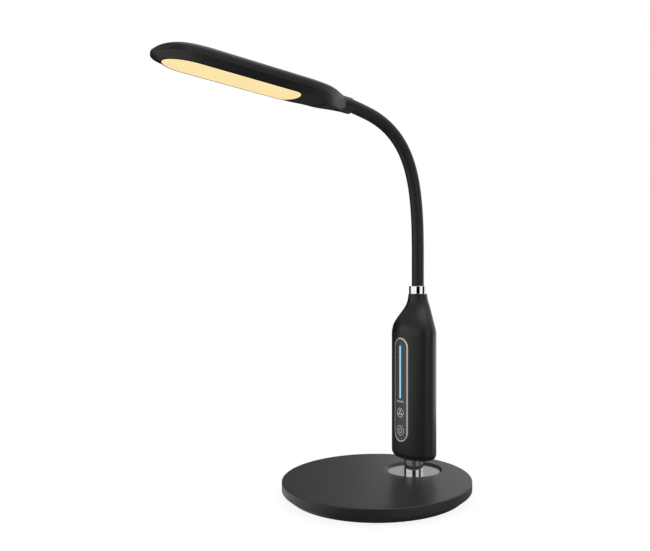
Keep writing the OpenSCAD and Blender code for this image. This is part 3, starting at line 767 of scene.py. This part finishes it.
# where rings are cut: close ones at the collar, wide ones along the slab, and ever closer ones at the nose
headSteps = {"from": 4.5, "collar": 1.25, "collarCount": 46, "slabFrom": 62.0, "slab": 2.0, "slabCount": 50,
             "noseAngles": range(4, 90, 3), "tip": 0.004}
# rear and nose: how long the round ends are
window = {"r": 15.3, "from": 61.2, "to": 183.0, "rear": 10.5, "nose": 23.0, "rim": 0.7, "gap": 0.15,
          "points": 64, "smooth": 40.0}
headTurn = Matrix.Translation((0, (neck["y"] - neckTail[1][0]) * mm, neckTail[1][1] * mm)) \
    @ Matrix.Rotation(radians(-head["pitch"]), 4, "X")


# from the head's own frame to the lamp's
def inHead(point):
    return tuple(headTurn @ (Vector(point) * mm))


# rises from 0 to 1, bulging by the powers a and b
def swellOf(t, a, b):
    return (1 - (1 - min(1.0, max(0.0, t))) ** a) ** b


def halfAt(v):
    h = head
    nose = max(0.0, v - (h["len"] - h["nose"])) / h["nose"]
    rise = swellOf((v - h["neckFrom"]) / (h["bodyFrom"] - h["neckFrom"]), *h["bodySwell"])
    half = h["collarR"] + (h["w"] / 2 - h["collarR"]) * rise
    return half * sqrt(max(0.0001, 1 - nose ** h["nosePower"]))


# how far v lies between the window's rim and the head's tip, 0 to 1
def tipPart(v):
    rimTo = window["to"] + window["rim"]
    return max(0.0, v - rimTo) / (head["len"] - rimTo)


# half the width of the flat underside, which follows the window
def flatAt(v):
    rimR = window["r"] + window["rim"]
    if v < window["from"]:
        return halfAt(v) * rimR / (head["w"] / 2)
    nose = max(0.0, v - (window["to"] - window["nose"])) / (window["nose"] + window["rim"])
    return max(rimR * sqrt(max(0.0, 1 - nose * nose)), halfAt(v) * head["tipFlat"] * (1 - tipPart(v)))


def signOf(value):
    return (value > 0) - (value < 0)


def headRing(v, grow):
    h, half, flat = head, halfAt(v), flatAt(v)
    wide = half - grow
    slab = swellOf((v - h["neckFrom"]) / (h["slabFrom"] - h["neckFrom"]), *h["slabSwell"])
    dome = max(0.0, v - h["domeFrom"]) / (h["len"] - h["domeFrom"])
    high = h["tipHeight"] + (1 - h["tipHeight"]) * sqrt(max(0.0, 1 - dome ** h["domePower"]))
    top = high * (h["low"] + h["h"] - h["seam"]) - grow
    drop = (h["low"] - h["seam"]) * (1 - tipPart(v)) - h["tipDrop"] * tipPart(v) + grow
    # towards the collar the underside bulges and has no edge of its own
    bulge = easeOf((h["bellyTo"] - v) / h["bellyFade"])
    deep = drop - h["belly"] * bulge
    edge, (sidePower, deepPower) = h["edgeSine"], h["bellyPowers"]
    out = []
    for c, s in circleOf(h["points"]):
        if s >= 0:
            x, z = wide * signOf(c) * abs(c) ** h["sidePower"], top * abs(s) ** h["topPower"]
        else:
            if abs(s) < edge:
                x = signOf(c) * max(h["leastHalf"], half + (flat - half) * abs(s) / edge - grow)
                z = drop * abs(s) / edge
            else:
                x, z = max(h["leastHalf"], flat - grow) * c / sqrt(1 - edge ** 2), drop
            part = abs(c) ** sidePower
            x += (wide * signOf(c) * part - x) * bulge
            z += (deep * (1 - part ** deepPower) - z) * bulge
        tubeX, tubeZ = (h["collarR"] - grow) * c, (h["collarR"] - grow) * s + h["collarZ"]
        out.append((tubeX + (x - tubeX) * slab, -v, tubeZ + (z + h["seam"] - tubeZ) * slab))
    return out


def headCuts():
    h, s = head, headSteps
    cuts = [s["from"] + i * s["collar"] for i in range(s["collarCount"])]
    cuts += [s["slabFrom"] + i * s["slab"] for i in range(1, s["slabCount"] + 1)]
    cuts += [h["len"] - h["nose"] * (1 - sin(radians(a))) for a in s["noseAngles"]]
    return cuts + [h["len"] - s["tip"]]


def headForm(name, grow, low, high):
    rings = [[inHead(p) for p in headRing(v, grow)] for v in headCuts() if low <= v <= high]
    return loft(name, rings, shellFinish)


def headCavity():
    return headForm("cavity", head["wall"], head["wallFrom"], head["len"] - head["wallTo"])


def windowOutline(grow):
    w, steps = window, window["points"]
    r, outline = w["r"] + grow, []
    for start, v, long in ((0, w["from"] + w["rear"], w["rear"]), (pi, w["to"] - w["nose"], w["nose"])):
        angles = [start + pi * i / steps for i in range(steps + 1)]
        outline += [(r * cos(a), -v + (long + grow) * sin(a)) for a in angles]
    return outline


# upright prism in the head's frame, tall enough to cut through it
def headPrism(outline, z0, z1):
    return loft("cutter", [[inHead((x, y, z)) for x, y in outline] for z in (z0, z1)], shellFinish)


# how far the cutters reach past the head
cutReach = {"side": 60, "front": 210, "back": 30, "up": 40, "below": 2}


def slabBox(z0, z1):
    side, front, back = cutReach["side"], -cutReach["front"], cutReach["back"]
    return headPrism([(-side, front), (side, front), (side, back), (-side, back)], z0, z1)


def headBore(start, direction, r, length, n=96):
    place = Vector(inHead(start)) / mm
    return cylinderAlong(tuple(place), tuple(headTurn.to_3x3() @ Vector(direction)), r, length, n)


def neckSocket():
    return headBore((0, 0, head["socketZ"]), (0, -1, 0), neck["r"] + head["socketGap"], head["socketTo"])


# shallow round dish for the thumb, cut upwards into the underside; its profile in (radius, z)
dish = {"v": 45.5, "points": 120, "profile": [(12.4, -12.0), (12.2, -6.75), (11.9, -6.5), (9.0, -6.28),
                                              (6.0, -6.12), (3.0, -6.03), (0.02, -6.0)]}


def dishCutter():
    rings = [[inHead((r * c, -dish["v"] + r * s, z)) for c, s in circleOf(dish["points"])]
             for r, z in dish["profile"]]
    return loft("cutter", rings, shellFinish)


def makeHeadTop():
    h = head
    piece = headForm("headTop", 0.0, 0, h["len"])
    combine(piece, slabBox(h["seam"] + h["seamUp"], cutReach["up"]), "INTERSECT")
    cutAway(piece, [headCavity(), neckSocket()], h["smooth"])
    ride(piece, "head", "head_top_shell", slot="black_plastic")


def makeHeadBottom():
    h = head
    piece = headForm("headBottom", 0.0, 0, h["len"])
    combine(piece, slabBox(-cutReach["up"], h["seam"] - h["seamDown"]), "INTERSECT")
    cavity = headCavity()
    combine(cavity, slabBox(h["low"] + h["wall"] + h["floor"], cutReach["up"]), "INTERSECT")
    opening = headPrism(windowOutline(window["gap"]), -cutReach["up"], cutReach["up"])
    # the clamp's screw has a clear hole and a wider one for its head
    half, below = cutReach["up"] / 2, cutReach["below"]
    clamp = headBore((0, -h["clampV"], -half), (0, 0, 1), h["clampR"], 2 * half, 48)
    foot, depth = (0, -h["clampV"], h["low"] - below), below + h["clampHeadTo"]
    clampHead = headBore(foot, (0, 0, 1), h["clampHeadR"], depth, 64)
    cutAway(piece, [cavity, opening, neckSocket(), dishCutter(), clamp, clampHead], h["smooth"])
    ride(piece, "head", "head_bottom_frame", slot="black_plastic")


makeHeadTop()
makeHeadBottom()
print("head shells made")

# sections of the window and of the dark ring round it, which is painted shade at the window's edge: growth
# of the outline and height over the head's underside
windowSection = [(-0.9, -0.3), (-0.45, -0.27), (-0.15, -0.2), (-0.03, -0.08), (0.0, 0.1), (0.0, 2.2)]
shadeRingSection = [(0.05, 0.6), (0.05, -0.16), (0.16, -0.27), (0.7, -0.3), (0.86, -0.24), (0.95, -0.1),
              (0.95, 0.6)]


def windowRings(section):
    return [[inHead((x, y, head["low"] + z)) for x, y in windowOutline(grow)] for grow, z in section]


# stands a little proud, with a crowned lower edge and straight sides
def makeWindow():
    piece = loft("lightWindow", windowRings(windowSection), makeWindowFinish(windowLook), window["smooth"])
    ride(piece, "head", "light_diffuser", slot="diffuser")


# near-black ring round the window's edge: a dark piece put where there is only shade, painted shade
def makeWindowShadeRing():
    rings = windowRings(shadeRingSection)
    piece = loft("windowShadeRing", rings, finishes["lipPaintedShade"], window["smooth"], closeLoop=True)
    faceOutwards(piece)
    ride(piece, "head", slot="black_plastic")


makeWindow()
makeWindowShadeRing()
print("head made")

# finishes of the CAD pieces that stay
nodeFinishes = [
    (shellFinish, ["inlet_jack", "column_sleeve"]),
    (makeFootFinish(footLook), ["base_pad"]),
    (makeBarFinish(barLook), ["slider_light_bar"]),
    (finishes["chromePlate"], ["post"]),
    (finishes["castIron"], ["base_weight"]),
    (finishes["zincSteel"], ["base_screws", "post_screws", "post_nut", "column_screws", "board_screws",
                             "ferrule_nut", "head_screws", "collar_screw"]),
    (finishes["brass"], ["inlet_pin", "neck_ferrule"]),
    (finishes["rolledAluminium"], ["heat_plate"]),
    (finishes["touchPanel"], ["panel_lens"]),
    (finishes["whitePlastic"], ["board_carrier", "led_board"]),
    (finishes["circuitBoard"], ["driver_board", "touch_board"]),
    (finishes["mouldedParts"], ["driver_parts"]),
    (finishes["chipPhosphor"], ["led_chips"]),
    (finishes["spreaderPlate"], ["light_spreader"]),
    (finishes["blackLead"], ["power_lead"]),
    (finishes["redLead"], ["head_lead"])]
for finish, nodes in nodeFinishes:
    for node in nodes:
        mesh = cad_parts[node].data
        mesh.materials.clear()
        mesh.materials.append(finish)
print("finishes set")

# What a mirrored ray meets round the lamp: tone against heading, in degrees from the camera's side.
# Level rays meet cards with hard edges, those that dip a little meet softer ones, and the floor carries on.
studio = {"cards": [(-180, 0.0), (-110, 0.0), (-102, 0.5), (-26, 0.5), (-18, 0.0), (20, 0.0), (26, 0.5),
                    (58, 0.5), (63, 0.0), (90, 0.0), (95, 0.5), (180, 0.5)],
          "soft": [(-180, 0.0), (-130, 0.02), (-105, 0.10), (-80, 0.21), (-60, 0.20), (-33, 0.09),
                   (-20, 0.12), (-5, 0.28), (12, 0.42), (30, 0.42), (50, 0.20), (66, 0.10), (84, 0.20),
                   (105, 0.85), (180, 0.7)],
          "floor": [(-180, 0.07), (-155, 0.05), (-130, 0.02), (-100, 0.27), (-70, 0.42), (-50, 0.30),
                    (-32, 0.05), (-15, 0.06), (12, 0.15), (30, 0.22), (46, 0.12), (66, 0.06), (84, 0.25),
                    (105, 1.0), (150, 0.8), (180, 0.4)],
          "power": 2.0, "fill": 0.70}
# dip: the rise of a ray, -1 to 1, at which soft gives way to cards; reach: where the cards end and the sky
# begins; tall: how much further they reach from one heading to another; rise, sides: how the sky brightens
sky = {"tone": 0.23, "dip": (-0.085, -0.055), "reach": (0.09, 0.24),
       "tall": 0.18, "tallFrom": (0.05, 0.083), "tallTo": (0.917, 0.95),
       "rise": (-0.2, 0.9, 1.0, 2.4), "sides": (0.55, 1.45)}


# heading of a direction, 0 to 1 with the camera's side in the middle
def headingOf(f, x, y):
    turn = radians(view["heading"])
    towards = x * sin(turn) - y * cos(turn)
    right = x * cos(turn) + y * sin(turn)
    return right.math("ARCTAN2", right, towards) * (0.5 / pi) + 0.5


def bandTone(f, spread, name):
    stops = [((turnTo + 180) / 360, tone) for turnTo, tone in studio[name]]
    return f.add("ShaderNodeValToRGB", {"stops": stops}, {0: spread})


# near, far: where the mirrored floor turns from dull to bands, and turn the heading from which far counts
floorLook = {"half": 1.5, "drop": 0.0001, "tone": 0.35, "shadow": 0.15, "white": 1.04, "near": (0.10, 0.16),
             "far": (0.28, 0.36), "turn": 0.755}


# white to the camera, with the lamp's soft shadow; duller in light that it throws back;
# mirrored further out it goes on with the bands of the studio
def makeFloor():
    look, half = floorLook, floorLook["half"]
    floor = addPiece("floor", [(-half, -half, 0), (half, -half, 0), (half, half, 0), (-half, half, 0)],
                     [(0, 1, 2, 3)], shellFinish)
    floor.location = (0, 0, -look["drop"])
    f = Finish("paleFloor")
    path = f.add("ShaderNodeLightPath")
    x, y, _ = f.axes()
    y = y - column["y"] * mm
    spread = headingOf(f, x, y)
    radius = (x * x + y * y) ** 0.5
    behind = spread > look["turn"]
    out = radius.between(*look["near"]) * (1 - behind) + radius.between(*look["far"]) * behind
    dull = f.add("ShaderNodeBsdfDiffuse", {}, {"Color": grey(look["tone"])})
    card = f.glow("ShaderNodeEmission", bandTone(f, spread, "floor"), studio["power"])
    mirrored = f.mixShaders(out * path.other("Is Glossy Ray"), dull, card)
    lit = f.add("ShaderNodeBsdfDiffuse", {}, {"Color": grey(look["shadow"])})
    white = f.glow("ShaderNodeEmission", grey(1.0), look["white"] - look["shadow"])
    seen = f.add("ShaderNodeAddShader", {}, {0: lit, 1: white})
    floor.data.materials[0] = f.close(f.mixShaders(path.other("Is Camera Ray"), mirrored, seen))


def makeWorld():
    world = bpy.data.worlds.new("studio")
    bpy.context.scene.world = world
    f = Finish("studio", world)
    path = f.add("ShaderNodeLightPath")
    x, y, z = f.axes("Generated")
    spread = headingOf(f, x, y)
    bands = f.blend(z.between(*sky["dip"]), bandTone(f, spread, "soft"), bandTone(f, spread, "cards"))
    # the cards stand taller everywhere but behind the lamp
    tall = spread.between(*sky["tallFrom"]) * (1 - spread.between(*sky["tallTo"])) * sky["tall"]
    level = 1 - (abs(z) - tall).between(*sky["reach"])
    side = spread.between(0.0, 1.0, *sky["sides"])
    glow = z.between(*sky["rise"]) * side * (sky["tone"] / studio["power"])
    above = f.add("ShaderNodeCombineColor", {}, {0: glow, 1: glow, 2: glow})
    mirror = f.glow("ShaderNodeBackground", f.blend(level, above, bands), studio["power"])
    fill = f.glow("ShaderNodeBackground", grey(studio["fill"]))
    white = f.glow("ShaderNodeBackground", grey(1.0))
    lit = f.mixShaders(path.other("Is Glossy Ray"), fill, mirror)
    f.close(f.mixShaders(path.other("Is Camera Ray"), lit, white), "ShaderNodeOutputWorld")


# the front lamp only fills, the cards and the top one make the highlights
lamps = {"topBox": {"place": (0.1, 0.1, 1.3), "aim": (0, 0, 0.1), "size": (0.9, 0.9),
                    "power": 3.0, "mirrored": True},
         "frontBox": {"place": (0.55, -0.75, 0.17), "aim": (0, 0.04, 0.10), "size": (0.30, 0.24),
                      "power": 0.9, "mirrored": False}}


def makeLamps():
    for name, look in lamps.items():
        data = bpy.data.lights.new(name, "AREA")
        data.shape = "RECTANGLE"
        data.size, data.size_y = look["size"]
        data.energy = look["power"]
        lamp = bpy.data.objects.new(name, data)
        lamp.location = look["place"]
        aim = Vector(look["place"]) - Vector(look["aim"])
        lamp.rotation_euler = aim.to_track_quat("Z", "Y").to_euler()
        lamp.visible_glossy = look["mirrored"]
        bpy.context.collection.objects.link(lamp)


makeFloor()
makeWorld()
makeLamps()
print("studio made")
